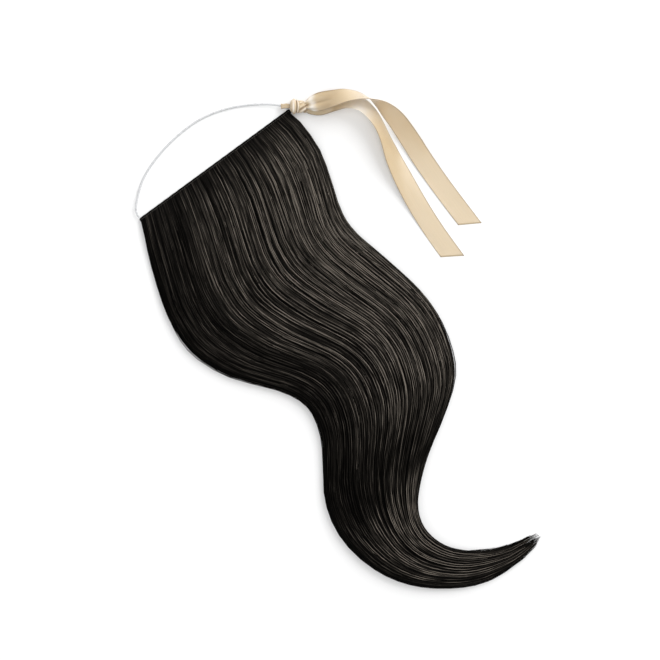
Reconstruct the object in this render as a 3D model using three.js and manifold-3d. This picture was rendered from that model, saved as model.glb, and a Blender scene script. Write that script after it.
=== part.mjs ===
// A flip-in hair extension lying on a table: a sewn weft band with its fall of hair,
// a clear halo wire from one end of the band to the other, and a satin ribbon knotted
// at the band's right-hand end with two loose tails.
//
// Millimetres. X runs along the band from left to right, +Y points away from the hair
// and through the wire's loop, +Z is up from the table. The origin is the middle of the
// band's underside.
import * as THREE from "three";
import { mergeVertices } from "three/addons/utils/BufferGeometryUtils.js";
import Module from "manifold-3d";

const wasm = await Module();
wasm.setup();

// Driving dimensions

const CLEARANCE = 0.3;

const BAND = { length: 186, depth: 5, thickness: 4, rib: 0.5, ribs: 2, corner: 1 };

// How far from the band's middle line its neighbours start, on both sides.
const BESIDE_BAND = BAND.depth / 2 + CLEARANCE;

// How the hair lies. Each row is one section across the fall, from the band to the tip:
// the two edges in plan, and the height of the middle above the table.
const HAIR_SECTIONS = [
  { leftX: -93, leftY: -BESIDE_BAND, rightX: 92, rightY: -BESIDE_BAND, crown: 4 },
  { leftX: -101, leftY: -18, rightX: 96, rightY: -19, crown: 7.5 },
  { leftX: -112, leftY: -44, rightX: 95, rightY: -50, crown: 10.5 },
  { leftX: -123, leftY: -74, rightX: 86, rightY: -80, crown: 12.5 },
  { leftX: -130, leftY: -103, rightX: 76, rightY: -110, crown: 13.5 },
  { leftX: -130, leftY: -138, rightX: 75, rightY: -136, crown: 14.5 },
  { leftX: -113, leftY: -179, rightX: 83, rightY: -172, crown: 15 },
  { leftX: -79, leftY: -223, rightX: 92, rightY: -220, crown: 15.5 },
  { leftX: -69, leftY: -252, rightX: 91, rightY: -255, crown: 16 },
  { leftX: -75, leftY: -280, rightX: 81, rightY: -290, crown: 16 },
  { leftX: -90, leftY: -305, rightX: 66, rightY: -314, crown: 16 },
  { leftX: -109, leftY: -334, rightX: 36, rightY: -337, crown: 16 },
  { leftX: -118, leftY: -368, rightX: 5, rightY: -356, crown: 15.5 },
  { leftX: -115, leftY: -404, rightX: -20, rightY: -375, crown: 15 },
  { leftX: -100, leftY: -440, rightX: -39, rightY: -396, crown: 14 },
  { leftX: -73, leftY: -470, rightX: -45, rightY: -421, crown: 12.5 },
  { leftX: -34, leftY: -493, rightX: -33, rightY: -450, crown: 10 },
  { leftX: 9, leftY: -499, rightX: 3, rightY: -477, crown: 7 },
  { leftX: 45, leftY: -494, rightX: 42, rightY: -486, crown: 3.5 },
];

// The locks, from the left edge to the right: where a lock's middle runs and how much of
// the width it takes, as shares of the section, its height as a share of the crown, how
// far along the fall its tip reaches, and the phase of its slow sideways sway.
const LOCKS = [
  { middle: 0.055, share: 0.11, lift: 0.6, reach: 0.95, phase: 0.0 },
  { middle: 0.14, share: 0.13, lift: 0.84, reach: 0.985, phase: 0.31 },
  { middle: 0.235, share: 0.12, lift: 0.93, reach: 0.965, phase: 0.74 },
  { middle: 0.335, share: 0.14, lift: 1.0, reach: 1.0, phase: 0.16 },
  { middle: 0.44, share: 0.13, lift: 0.94, reach: 0.98, phase: 0.55 },
  { middle: 0.54, share: 0.13, lift: 1.0, reach: 0.995, phase: 0.9 },
  { middle: 0.64, share: 0.13, lift: 0.95, reach: 0.97, phase: 0.4 },
  { middle: 0.74, share: 0.13, lift: 0.98, reach: 1.0, phase: 0.05 },
  { middle: 0.845, share: 0.13, lift: 0.83, reach: 0.96, phase: 0.62 },
  { middle: 0.94, share: 0.12, lift: 0.6, reach: 0.935, phase: 0.22 },
];
const LOCK = { overlap: 1.25, stations: 26, topPoints: 5, taper: 0.2, tip: 0.08, sway: 0.012 };
const BACKING = { lift: 0.42, reach: 0.95, stations: 26, taper: 0.12, tip: 0.3 };

// The wire's route: out of the band's far edge at the left, up and over, down to the
// table along the bow, and up again through the ribbon's fold into the band's right end.
const WIRE = { diameter: 0.9, sides: 8, steps: 76 };
const WIRE_ROUTE = [
  [-91.5, BESIDE_BAND, 2.4],
  [-91.7, 6.5, 2.9],
  [-90.3, 10.7, 3.4],
  [-87.2, 14.9, 3.6],
  [-82.8, 19, 3.2],
  [-77, 24.2, 2.4],
  [-69, 30.2, 1.5],
  [-60.5, 34.8, 0.8],
  [-51, 38.6, 0.55],
  [-37, 42.6, 0.5],
  [-21.5, 45.6, 0.5],
  [-7, 47, 0.5],
  [7, 47.2, 0.5],
  [19, 46, 0.5],
  [30.5, 43.4, 0.5],
  [41.5, 39.8, 0.55],
  [51.5, 35.6, 0.8],
  [61, 30.5, 1.4],
  [70, 24.8, 2.2],
  [78.5, 18.6, 3.1],
  [85, 12.9, 3.9],
  [89, 8.6, 4.1],
  [91.2, 5.4, 3.9],
  [91.5, BESIDE_BAND, 2.8],
];

// The ribbon stands in a frame of its own at the knot, turned so that its X runs away
// from the band's end along the knot.
const RIBBON = { width: 20, thickness: 1, across: 8, stationsPerRow: 3, cut: 0.63, turn: -36.25 };
const KNOT = { x: 102.5, y: -1.4, height: 6.2, flatten: 0.85, facets: 16, lean: -8 };

// The knot's outline along its own axis: a round turn, a groove and a waisted throat.
const KNOT_PROFILE = [
  { along: -7.6, radius: 2.8 },
  { along: -6.9, radius: 5.2 },
  { along: -5.2, radius: 6.8 },
  { along: -3.2, radius: 7.1 },
  { along: -1.8, radius: 6.3 },
  { along: -1, radius: 5.8 },
  { along: 0.2, radius: 6.5 },
  { along: 2.4, radius: 6.2 },
  { along: 4.8, radius: 5.3 },
  { along: 6.7, radius: 4.7 },
];

// The short fold of ribbon that goes round the wire beside the knot.
const FOLD = { x: -18, y: 0, height: 4, length: 9.4, turn: 2, width: 5.4, depth: 4.4, wall: 1 };

// The tails' middle lines from the knot to the cut end. Bank lifts the inner edge of the
// turn, in degrees: the lower tail banks and lies flat again, and the upper one goes on
// over into a half twist. Where the width is less than the ribbon's, the rest of it is
// gathered into a double pleat.
const TAIL_UPPER = [
  { x: 7.2, y: 0.3, z: 9.6, bank: 0, width: 9 },
  { x: 13, y: 2, z: 11.6, bank: 4, width: 15.5 },
  { x: 21, y: 3.8, z: 14.5, bank: 8, width: 19 },
  { x: 33, y: 6.4, z: 18.5, bank: 29, width: 20 },
  { x: 46, y: 9.2, z: 20, bank: 44, width: 20 },
  { x: 59, y: 9.8, z: 18.5, bank: 63, width: 20 },
  { x: 70, y: 7.4, z: 16, bank: 83, width: 20 },
  { x: 80, y: 2, z: 13.5, bank: 110, width: 20 },
  { x: 89.5, y: -6, z: 11.5, bank: 136, width: 20 },
  { x: 98, y: -15, z: 9.2, bank: 152, width: 20 },
  { x: 106, y: -26, z: 6.7, bank: 162, width: 20 },
  { x: 114, y: -38, z: 4.4, bank: 169, width: 20 },
  { x: 123, y: -52, z: 2.5, bank: 175, width: 20 },
  { x: 138, y: -73.5, z: 1, bank: 179, width: 20 },
  { x: 155, y: -96.5, z: 0.6, bank: 180, width: 20 },
  { x: 171, y: -117.5, z: 0.55, bank: 180, width: 20 },
];
const TAIL_LOWER = [
  { x: 7.2, y: -1.2, z: 3.5, bank: 0, width: 9 },
  { x: 13, y: -1.8, z: 4, bank: 2, width: 13 },
  { x: 21, y: -0.6, z: 5, bank: 4, width: 17 },
  { x: 33, y: 3.6, z: 8, bank: 14, width: 19.5 },
  { x: 46, y: 5.2, z: 11, bank: 30, width: 20 },
  { x: 57, y: 3.4, z: 12.5, bank: 39, width: 20 },
  { x: 66, y: -1.4, z: 12.5, bank: 46, width: 20 },
  { x: 74, y: -10, z: 11.8, bank: 52, width: 20 },
  { x: 81, y: -21, z: 10.7, bank: 57, width: 20 },
  { x: 87, y: -34, z: 9.4, bank: 54, width: 20 },
  { x: 95, y: -53.5, z: 6.7, bank: 35, width: 20 },
  { x: 106, y: -75.5, z: 3.7, bank: 16, width: 20 },
  { x: 120, y: -100.5, z: 1.5, bank: 4, width: 20 },
  { x: 136, y: -125.5, z: 0.65, bank: 0, width: 20 },
  { x: 153.5, y: -149.9, z: 0.55, bank: 0, width: 20 },
];

// Finishes

const FINISH = {
  hair: { color: 0x1f1c1a, roughness: 0.45, metalness: 0 },
  band: { color: 0x121110, roughness: 0.7, metalness: 0 },
  wire: { color: 0xe9ecec, roughness: 0.2, metalness: 0 },
  satin: { color: 0xe0caa2, roughness: 0.35, metalness: 0 },
};

// Curves and lofts

// A row of the table between its rows: every column on one uniform Catmull-Rom curve,
// with t from 0 at the first row to 1 at the last.
function rowAt(rows, t) {
  const last = rows.length - 1;
  const place = THREE.MathUtils.clamp(t, 0, 1) * last;
  const i = Math.min(Math.floor(place), last - 1);
  const f = place - i;
  const made = {};
  for (const column of Object.keys(rows[0])) {
    const p1 = rows[i][column];
    const p2 = rows[i + 1][column];
    const p0 = i > 0 ? rows[i - 1][column] : 2 * p1 - p2;
    const p3 = i + 2 <= last ? rows[i + 2][column] : 2 * p2 - p1;
    const slopeIn = (p2 - p0) / 2;
    const slopeOut = (p3 - p1) / 2;
    made[column] =
      p1 +
      f * slopeIn +
      f * f * (3 * (p2 - p1) - 2 * slopeIn - slopeOut) +
      f * f * f * (2 * (p1 - p2) + slopeIn + slopeOut);
  }
  return made;
}

// A closed solid through rings of the same number of points. The rings run along the
// solid, each counter-clockwise as seen from the solid's far end, and both ends are
// closed with the triangles of the flat contour.
function loft(rings, contour) {
  const count = rings[0].length;
  const positions = rings.flat().flatMap((p) => p.toArray());
  const faces = [];
  for (let r = 0; r + 1 < rings.length; r++) {
    for (let i = 0; i < count; i++) {
      const j = (i + 1) % count;
      const a = r * count + i;
      const b = r * count + j;
      faces.push(a, b, b + count, a, b + count, a + count);
    }
  }
  const end = (rings.length - 1) * count;
  for (const [a, b, c] of THREE.ShapeUtils.triangulateShape(contour, [])) {
    faces.push(c, b, a, end + a, end + b, end + c);
  }
  const geometry = new THREE.BufferGeometry();
  geometry.setAttribute("position", new THREE.Float32BufferAttribute(positions, 3));
  geometry.setIndex(faces);
  return geometry;
}

// Solids and joins

function toSolid(geometry) {
  const bare = geometry.clone();
  bare.deleteAttribute("normal");
  bare.deleteAttribute("uv");
  const merged = mergeVertices(bare, 1e-4);
  return new wasm.Manifold(
    new wasm.Mesh({
      numProp: 3,
      vertProperties: merged.attributes.position.array,
      triVerts: new Uint32Array(merged.index.array),
    }),
  );
}

function toGeometry(solid) {
  const mesh = solid.getMesh();
  const geometry = new THREE.BufferGeometry();
  geometry.setAttribute("position", new THREE.BufferAttribute(mesh.vertProperties, 3));
  geometry.setIndex(new THREE.BufferAttribute(mesh.triVerts, 1));
  return geometry;
}

const fuse = (geometries) =>
  toGeometry(geometries.map(toSolid).reduce((whole, piece) => whole.add(piece)));

function piece(name, geometry, finish) {
  geometry.computeVertexNormals();
  const mesh = new THREE.Mesh(geometry, new THREE.MeshStandardMaterial(finish));
  mesh.name = name;
  return mesh;
}

// Weft band

// The band's section: a flat underside, rounded sides and sewn ribs along the top.
function bandSection() {
  const half = BAND.depth / 2;
  const top = BAND.thickness - BAND.rib;
  const rib = BAND.depth / BAND.ribs / 2;
  const section = new THREE.Shape();
  section.moveTo(-half, BAND.corner);
  section.absarc(-half + BAND.corner, BAND.corner, BAND.corner, Math.PI, 1.5 * Math.PI);
  section.absarc(half - BAND.corner, BAND.corner, BAND.corner, 1.5 * Math.PI, 2 * Math.PI);
  section.lineTo(half, top);
  for (let i = 0; i < BAND.ribs; i++) {
    const middle = half - rib * (2 * i + 1);
    section.absellipse(middle, top, rib, BAND.rib, 0, Math.PI);
  }
  return section;
}

function weftBand() {
  const geometry = new THREE.ExtrudeGeometry(bandSection(), {
    depth: BAND.length,
    bevelEnabled: false,
    curveSegments: 5,
  });
  geometry.translate(0, 0, -BAND.length / 2);
  geometry.rotateX(Math.PI / 2);
  geometry.rotateZ(Math.PI / 2);
  return piece("weft_band", geometry, FINISH.band);
}

// Hair

// A section of the fall as a place in plan, a direction across, a width and a crown.
function fallAt(t) {
  const row = rowAt(HAIR_SECTIONS, t);
  const left = new THREE.Vector3(row.leftX, row.leftY, 0);
  const across = new THREE.Vector3(row.rightX, row.rightY, 0).sub(left);
  const width = across.length();
  return { left, across: across.normalize(), width, crown: row.crown };
}

// Ring points from a flat contour: u runs across the fall and v up from the table.
const standUp = (fall, contour) =>
  contour.map((p) =>
    fall.left.clone().addScaledVector(fall.across, p.x).setZ(p.y),
  );

const smooth = (x) => THREE.MathUtils.smoothstep(x, 0, 1);

// The share of its full width that a tress keeps at t, when it narrows to a tip at reach.
const narrowing = (t, { reach, taper, tip }) =>
  tip + (1 - tip) * smooth((reach - t) / taper);

// The thin layer of hair on the table, as wide as the fall, that the locks grow out of.
function backing() {
  const rings = [];
  let contour;
  for (let s = 0; s <= BACKING.stations; s++) {
    const t = (BACKING.reach * s) / BACKING.stations;
    const fall = fallAt(t);
    const half = (fall.width / 2) * narrowing(t, BACKING);
    const middle = fall.width / 2;
    const height = fall.crown * BACKING.lift;
    contour = [
      new THREE.Vector2(middle - half * 0.985, 0),
      new THREE.Vector2(middle + half * 0.985, 0),
      new THREE.Vector2(middle + half, height * 0.45),
      new THREE.Vector2(middle + half * 0.95, height),
      new THREE.Vector2(middle - half * 0.95, height),
      new THREE.Vector2(middle - half, height * 0.45),
    ];
    rings.push(standUp(fall, contour));
  }
  return loft(rings, contour);
}

// One lock: a round-topped tress whose foot lies inside the backing.
function lock({ middle, share, lift, reach, phase }) {
  const rings = [];
  let contour;
  for (let s = 0; s <= LOCK.stations; s++) {
    const t = (reach * s) / LOCK.stations;
    const fall = fallAt(t);
    const sway = LOCK.sway * Math.sin(2 * Math.PI * (2 * t + phase));
    const narrow = narrowing(t, { reach, taper: LOCK.taper, tip: LOCK.tip });
    const half = (fall.width * share * LOCK.overlap * narrow) / 2;
    const centre = THREE.MathUtils.clamp(fall.width * (middle + sway), half, fall.width - half);
    const foot = fall.crown * BACKING.lift * 0.5;
    const rise = (fall.crown * lift - foot) * (0.4 + 0.6 * narrow);
    contour = [];
    for (let i = 0; i < LOCK.topPoints; i++) {
      const angle = (Math.PI * i) / (LOCK.topPoints - 1);
      contour.push(
        new THREE.Vector2(centre + half * Math.cos(angle), foot + rise * Math.sin(angle)),
      );
    }
    rings.push(standUp(fall, contour));
  }
  return loft(rings, contour);
}

const hairFall = () => piece("hair_fall", fuse([backing(), ...LOCKS.map(lock)]), FINISH.hair);

// Halo wire

function haloWire() {
  const section = new THREE.Shape();
  for (let i = 0; i < WIRE.sides; i++) {
    const angle = (2 * Math.PI * i) / WIRE.sides;
    const x = (WIRE.diameter / 2) * Math.cos(angle);
    const y = (WIRE.diameter / 2) * Math.sin(angle);
    if (i === 0) section.moveTo(x, y);
    else section.lineTo(x, y);
  }
  section.closePath();
  const route = new THREE.CatmullRomCurve3(WIRE_ROUTE.map((p) => new THREE.Vector3(...p)));
  const geometry = new THREE.ExtrudeGeometry(section, {
    steps: WIRE.steps,
    extrudePath: route,
    bevelEnabled: false,
  });
  return piece("halo_wire", geometry, FINISH.wire);
}

// Ribbon

function ribbonKnot() {
  const first = KNOT_PROFILE[0].along;
  const last = KNOT_PROFILE[KNOT_PROFILE.length - 1].along;
  const outline = [
    new THREE.Vector2(0, first),
    ...KNOT_PROFILE.map((p) => new THREE.Vector2(p.radius, p.along)),
    new THREE.Vector2(0, last),
  ];
  const geometry = new THREE.LatheGeometry(outline, KNOT.facets);
  geometry.rotateZ(-Math.PI / 2);
  geometry.scale(1, 1, KNOT.flatten);
  const mesh = piece("ribbon_knot", geometry, FINISH.satin);
  mesh.position.z = KNOT.height;
  mesh.rotation.z = THREE.MathUtils.degToRad(KNOT.lean);
  return mesh;
}

// The fold's section: a strip doubled over, open towards the band.
function ribbonFold() {
  const { width, depth, wall } = FOLD;
  const outer = depth / 2;
  const inner = outer - wall;
  const turnAt = width / 2 - outer;
  const section = new THREE.Shape();
  section.moveTo(-width / 2, -outer);
  section.lineTo(turnAt, -outer);
  section.absarc(turnAt, 0, outer, -Math.PI / 2, Math.PI / 2);
  section.lineTo(-width / 2, outer);
  section.lineTo(-width / 2, inner);
  section.lineTo(turnAt, inner);
  section.absarc(turnAt, 0, inner, Math.PI / 2, -Math.PI / 2, true);
  section.lineTo(-width / 2, -inner);
  const geometry = new THREE.ExtrudeGeometry(section, {
    depth: FOLD.length,
    bevelEnabled: false,
    curveSegments: 8,
  });
  geometry.rotateX(Math.PI / 2);
  geometry.rotateZ(Math.PI / 2);
  const mesh = piece("ribbon_fold", geometry, FINISH.satin);
  mesh.position.set(FOLD.x, FOLD.y, FOLD.height);
  mesh.rotation.z = THREE.MathUtils.degToRad(FOLD.turn);
  return mesh;
}

// One tail: a strip that follows its table's middle line, gathered beside the knot,
// banked or twisted round the turn and cut at a slant.
function ribbonTail(name, rows) {
  const stations = (rows.length - 1) * RIBBON.stationsPerRow;
  const middle = (t) => {
    const row = rowAt(rows, t);
    return new THREE.Vector3(row.x, row.y, row.z);
  };
  const step = 0.5 / stations;
  const up = new THREE.Vector3(0, 0, 1);
  const rings = [];
  for (let s = 0; s <= stations; s++) {
    const t = s / stations;
    const row = rowAt(rows, t);
    const along = middle(Math.min(t + step, 1)).sub(middle(Math.max(t - step, 0))).normalize();
    const level = new THREE.Vector3().crossVectors(along, up).normalize();
    const bank = THREE.MathUtils.degToRad(row.bank);
    const side = level.applyAxisAngle(along, -bank);
    const face = new THREE.Vector3().crossVectors(side, along);
    const slant = s === stations ? RIBBON.cut * Math.cos(bank) : 0;
    const pleat = Math.sqrt(Math.max(RIBBON.width ** 2 - row.width ** 2, 0)) / 4;
    const upper = [];
    const lower = [];
    for (let i = 0; i <= RIBBON.across; i++) {
      const share = i / RIBBON.across - 0.5;
      const hump = (-pleat / 2) * Math.cos(4 * Math.PI * share);
      const point = middle(t)
        .addScaledVector(side, share * row.width)
        .addScaledVector(along, -share * row.width * slant)
        .addScaledVector(face, hump);
      upper.push(point.clone().addScaledVector(face, RIBBON.thickness / 2));
      lower.push(point.addScaledVector(face, -RIBBON.thickness / 2));
    }
    rings.push([...upper, ...lower.reverse()]);
  }
  const flat = (y) =>
    Array.from({ length: RIBBON.across + 1 }, (_, i) => new THREE.Vector2(-i, y));
  const contour = [...flat(1), ...flat(0).reverse()];
  return piece(name, loft(rings, contour), FINISH.satin);
}

function ribbon() {
  const group = new THREE.Group();
  group.position.set(KNOT.x, KNOT.y, 0);
  group.rotation.z = THREE.MathUtils.degToRad(RIBBON.turn);
  group.add(
    ribbonFold(),
    ribbonKnot(),
    ribbonTail("ribbon_tail_upper", TAIL_UPPER),
    ribbonTail("ribbon_tail_lower", TAIL_LOWER),
  );
  return group;
}

const extension = new THREE.Group();
extension.add(weftBand(), hairFall(), haloWire(), ribbon());

export default extension;
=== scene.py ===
"""A flip-in hair extension lying on a table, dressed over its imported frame.

The hair is a low body under thousands of strands gathered in locks. A sewn band carries
it, a clear wire bows from one end of the band to the other, and a satin ribbon is knotted
at the right-hand end. Metres, in the frame of the part: X along the band, +Y through the
wire's loop, +Z up from the table.
"""

import math

import bmesh
import bpy
import numpy as np
from bpy.props import FloatProperty, FloatVectorProperty, IntProperty, PointerProperty
from mathutils import Matrix, Vector


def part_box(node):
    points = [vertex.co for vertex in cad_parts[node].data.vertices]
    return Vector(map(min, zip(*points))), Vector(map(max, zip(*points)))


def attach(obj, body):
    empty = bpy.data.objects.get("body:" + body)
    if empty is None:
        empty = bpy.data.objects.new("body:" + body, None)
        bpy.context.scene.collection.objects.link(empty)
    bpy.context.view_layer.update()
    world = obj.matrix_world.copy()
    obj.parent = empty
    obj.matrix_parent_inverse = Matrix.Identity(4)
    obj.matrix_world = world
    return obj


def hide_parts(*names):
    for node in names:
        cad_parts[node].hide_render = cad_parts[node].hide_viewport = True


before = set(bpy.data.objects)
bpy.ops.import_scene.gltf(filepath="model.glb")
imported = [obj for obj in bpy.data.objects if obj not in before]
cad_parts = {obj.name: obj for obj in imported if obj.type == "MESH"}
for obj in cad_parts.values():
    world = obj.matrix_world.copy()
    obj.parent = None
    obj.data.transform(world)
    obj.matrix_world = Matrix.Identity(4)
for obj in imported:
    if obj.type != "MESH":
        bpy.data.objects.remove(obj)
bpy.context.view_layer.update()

bl_info = {
    "name": "Flip-in hair extension",
    "version": (1, 0, 0),
    "blender": (4, 5, 0),
    "location": "3D View > Sidebar > Hair extension",
    "description": "Makes the hair, weft band, halo wire and ribbon over the packed frame",
    "category": "Object",
}

MM = 0.001
BODY = "root"
STREAKS = "Fibre streaks"
SATIN = "satin"

# The colour sockets of a Mix node, which share their names with its other sockets.
MIX_LOW, MIX_HIGH, MIX_RESULT = 6, 7, 2

# How the hair lies, in millimetres: a row for each section across the fall, from the band
# to the tip, with its two edges in plan and the height of its middle.
LEFT_X, LEFT_Y, RIGHT_X, RIGHT_Y, CROWN = range(5)
HAIR_SECTIONS = np.array(
    [
        (-93, -2.8, 92, -2.8, 4),
        (-101, -18, 96, -19, 7.5),
        (-112, -44, 95, -50, 10.5),
        (-123, -74, 86, -80, 12.5),
        (-130, -103, 76, -110, 13.5),
        (-130, -138, 75, -136, 14.5),
        (-113, -179, 83, -172, 15),
        (-79, -223, 92, -220, 15.5),
        (-69, -252, 91, -255, 16),
        (-75, -280, 81, -290, 16),
        (-90, -305, 66, -314, 16),
        (-109, -334, 36, -337, 16),
        (-118, -368, 5, -356, 15.5),
        (-115, -404, -20, -375, 15),
        (-100, -440, -39, -396, 14),
        (-73, -470, -45, -421, 12.5),
        (-34, -493, -33, -450, 10),
        (9, -499, 3, -477, 7),
        (45, -494, 42, -486, 3.5),
    ]
)

# Places along the fall, t, go from 0 at the band to 1 at the tip, and places across it, u,
# from 0 at the left edge to 1 at the right. A swing is how far strands sway, as a share of
# the width, and how many waves it makes along the fall.
LOCK_SWINGS = [(0.007, 1.1), (0.003, 2.6), (0.005, 2.2)]
TOP_SWINGS = [(0.006, 1.1), (0.004, 2.3), (0.002, 3.1)]

# Where along its own length a lock at the right of the tip narrows to a spike, and the step
# from lock to lock that spreads the spikes' lengths evenly.
SPIKE_LENGTH = (0.965, 1.0)
GOLDEN = 0.618

# The wire's route in metres, from the band's left end to its right end.
WIRE_ROUTE = [
    (-0.0915, 0.0028, 0.0024),
    (-0.0917, 0.0065, 0.0029),
    (-0.0903, 0.0107, 0.0034),
    (-0.0872, 0.0149, 0.0036),
    (-0.0828, 0.019, 0.0032),
    (-0.077, 0.0242, 0.0024),
    (-0.069, 0.0302, 0.0015),
    (-0.0605, 0.0348, 0.0008),
    (-0.051, 0.0386, 0.00055),
    (-0.037, 0.0426, 0.0005),
    (-0.0215, 0.0456, 0.0005),
    (-0.007, 0.047, 0.0005),
    (0.007, 0.0472, 0.0005),
    (0.019, 0.046, 0.0005),
    (0.0305, 0.0434, 0.0005),
    (0.0415, 0.0398, 0.00055),
    (0.0515, 0.0356, 0.0008),
    (0.061, 0.0305, 0.0014),
    (0.07, 0.0248, 0.0022),
    (0.0785, 0.0186, 0.0031),
    (0.085, 0.0129, 0.0039),
    (0.089, 0.0086, 0.0041),
    (0.0912, 0.0054, 0.0039),
    (0.0915, 0.0028, 0.0028),
]

# The ribbon's own frame stands at the knot and is turned so that X runs along the knot.
KNOT_X, KNOT_Y, KNOT_HEIGHT = 102.5, -1.4, 6.2
RIBBON_TURN = math.radians(-36.25)

# The tails' middle lines in the ribbon's frame, in millimetres, from the knot to the cut
# end. Bank, in degrees, lifts the inner edge of the turn: the lower tail lies flat again,
# and the upper one goes on over into a half twist. Where the width is less than the
# ribbon's, the rest of it is gathered into a double pleat.
TAIL_X, TAIL_Y, TAIL_Z, BANK, SPREAD = range(5)
TAIL_UPPER = np.array(
    [
        (7.2, 0.3, 9.6, 0, 9),
        (13, 2, 11.6, 4, 15.5),
        (21, 3.8, 14.5, 8, 19),
        (33, 6.4, 18.5, 29, 20),
        (46, 9.2, 20, 44, 20),
        (59, 9.8, 18.5, 63, 20),
        (70, 7.4, 16, 83, 20),
        (80, 2, 13.5, 110, 20),
        (89.5, -6, 11.5, 136, 20),
        (98, -15, 9.2, 152, 20),
        (106, -26, 6.7, 162, 20),
        (114, -38, 4.4, 169, 20),
        (123, -52, 2.5, 175, 20),
        (138, -73.5, 1, 179, 20),
        (155, -96.5, 0.6, 180, 20),
        (171, -117.5, 0.55, 180, 20),
    ]
)
TAIL_LOWER = np.array(
    [
        (7.2, -1.2, 3.5, 0, 9),
        (13, -1.8, 4, 2, 13),
        (21, -0.6, 5, 4, 17),
        (33, 3.6, 8, 14, 19.5),
        (46, 5.2, 11, 30, 20),
        (57, 3.4, 12.5, 39, 20),
        (66, -1.4, 12.5, 46, 20),
        (74, -10, 11.8, 52, 20),
        (81, -21, 10.7, 57, 20),
        (87, -34, 9.4, 54, 20),
        (95, -53.5, 6.7, 35, 20),
        (106, -75.5, 3.7, 16, 20),
        (120, -100.5, 1.5, 4, 20),
        (136, -125.5, 0.65, 0, 20),
        (153.5, -149.9, 0.55, 0, 20),
    ]
)

# Where a tail has a painted gleam, or painted shade where the amount is below zero: place along it
# from 0 to 1, spread and amount.
UPPER_PAINTED_GLEAMS = [(0.065, 0.035, 0.8), (0.19, 0.06, -0.35), (0.33, 0.05, 0.1), (0.53, 0.07, 0.2)]
LOWER_PAINTED_GLEAMS = [(0.4, 0.11, 0.95)]

# The knot's outline along its own axis, in millimetres: place and radius of the round
# turn, the groove, the narrow second turn and the throat that the tails leave.
KNOT_PROFILE = np.array(
    [
        (-9, 1.2),
        (-8.8, 3.4),
        (-8, 5.3),
        (-6.5, 6.9),
        (-4.7, 7.7),
        (-3.2, 7.7),
        (-2.5, 7),
        (-1.9, 5.8),
        (-1, 6.9),
        (-0.2, 6.6),
        (0.6, 6.2),
        (3, 6.3),
        (6.2, 6),
        (7.6, 5),
        (7.9, 1.2),
    ]
)


class HairSettings(bpy.types.PropertyGroup):
    """Sizes and colours of the hair."""

    locks: IntProperty(name="Locks", description="Locks that the strands gather in", default=110)
    strands: IntProperty(
        name="Strands per layer", description="Strands in each of the layers", default=600
    )
    layers: IntProperty(name="Layers", description="Layers of strands", default=5)
    # The light that the top strands catch is painted into their tint as painted highlights.
    lines: IntProperty(
        name="Top strands", description="Strands on the top that catch the light", default=128
    )
    points: IntProperty(name="Points", description="Points along each strand", default=44)
    seed: IntProperty(name="Seed", description="Seed of the hair's random numbers", default=11)
    root_radius: FloatProperty(
        name="Root radius",
        description="Half the thickness of a strand at the band",
        default=0.0004,
        unit="LENGTH",
        precision=5,
    )
    tip_radius: FloatProperty(
        name="Tip radius",
        description="Half the thickness of a strand at its tip",
        default=0.00015,
        unit="LENGTH",
        precision=5,
    )
    dark: FloatVectorProperty(
        name="Dark strands",
        description="Colour of the darkest strands",
        subtype="COLOR",
        default=(0.0013, 0.0012, 0.0011),
    )
    # The strands' tint blends dark towards light: partly each strand's own tone, partly painted
    # sheen and glints.
    light: FloatVectorProperty(
        name="Light strands",
        description="Colour of the lightest strands",
        subtype="COLOR",
        default=(0.245, 0.214, 0.18),
    )


class BandSettings(bpy.types.PropertyGroup):
    """Sizes and colours of the weft band and its wire."""

    stitch_pitch: FloatProperty(
        name="Stitch pitch",
        description="Distance from one stitch to the next",
        default=0.0026,
        unit="LENGTH",
        precision=4,
    )
    tape: FloatVectorProperty(
        name="Tape",
        description="Colour of the tape",
        subtype="COLOR",
        default=(0.006, 0.0055, 0.005),
    )
    thread: FloatVectorProperty(
        name="Thread",
        description="Colour of the sewing thread",
        subtype="COLOR",
        default=(0.075, 0.066, 0.058),
    )
    wire_diameter: FloatProperty(
        name="Wire diameter",
        description="Thickness of the clear wire",
        default=0.002,
        unit="LENGTH",
        precision=4,
    )


class RibbonSettings(bpy.types.PropertyGroup):
    """Sizes and colours of the ribbon."""

    width: FloatProperty(
        name="Width",
        description="Width of the ribbon as it is sold",
        default=0.020,
        unit="LENGTH",
        precision=4,
    )
    thickness: FloatProperty(
        name="Thickness",
        description="Thickness of the satin",
        default=0.00035,
        unit="LENGTH",
        precision=5,
    )
    satin: FloatVectorProperty(
        name="Satin",
        description="Colour of the satin",
        subtype="COLOR",
        default=(0.58, 0.445, 0.265),
    )
    # Colour of the painted shade in creases, pleats and grooves and on faces turned from the light.
    crease: FloatVectorProperty(
        name="Crease",
        description="Colour of the satin deep in a crease",
        subtype="COLOR",
        default=(0.26, 0.17, 0.08),
    )
    selvedge: FloatVectorProperty(
        name="Selvedge",
        description="Colour of the woven edges",
        subtype="COLOR",
        default=(0.33, 0.235, 0.13),
    )
    # Colour of the painted gleams on the ribbon's bends.
    gleam: FloatVectorProperty(
        name="Gleam",
        description="Colour of the satin where its bends catch the light",
        subtype="COLOR",
        default=(0.9, 0.84, 0.76),
    )


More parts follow.
